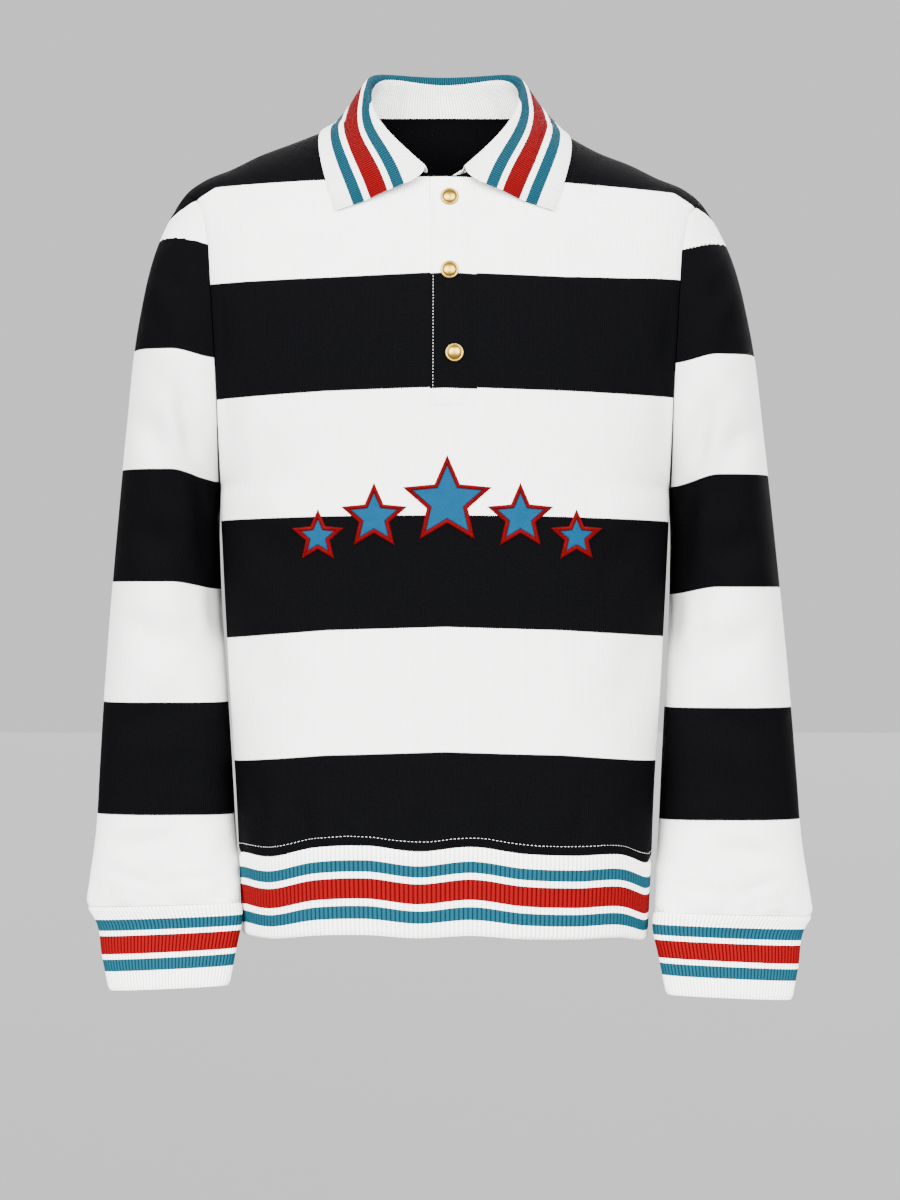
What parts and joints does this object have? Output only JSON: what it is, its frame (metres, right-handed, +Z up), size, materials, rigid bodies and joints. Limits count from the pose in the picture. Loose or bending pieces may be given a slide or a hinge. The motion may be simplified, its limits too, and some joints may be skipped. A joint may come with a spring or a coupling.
{
  "type": "polo shirt",
  "caption": "Long-sleeved striped polo shirt with ribbed collar, cuffs and hem band, snap placket and star patches, in its hollow worn form.",
  "frame": {"origin": "middle of the shoulders, level with the neck ends of the shoulder seams, inside the empty neck", "axes": "+Z up, front faces -Y, +X towards the wearer's left side, which is the right side in the picture"},
  "size_m": [0.6222, 0.2448, 0.7985],
  "materials": {
    "jersey": "matt heavy cotton jersey in wide black and white stripes",
    "rib_knit": "matt white rib knit with teal and red stripes",
    "felt": "matt teal felt with a red satin-stitched border",
    "brass": "polished brass"
  },
  "bodies": {
    "root": {"front": "jersey", "back": "jersey", "sleeve_left": "jersey", "sleeve_right": "jersey", "placket_over": "jersey", "placket_under": "jersey", "collar": "rib_knit", "cuff_left": "rib_knit", "cuff_right": "rib_knit", "hem_band": "rib_knit", "snap_top": "brass", "snap_middle": "brass", "snap_bottom": "brass", "star_1": "felt", "star_2": "felt", "star_3": "felt", "star_4": "felt", "star_5": "felt"}
  },
  "joints": []
}
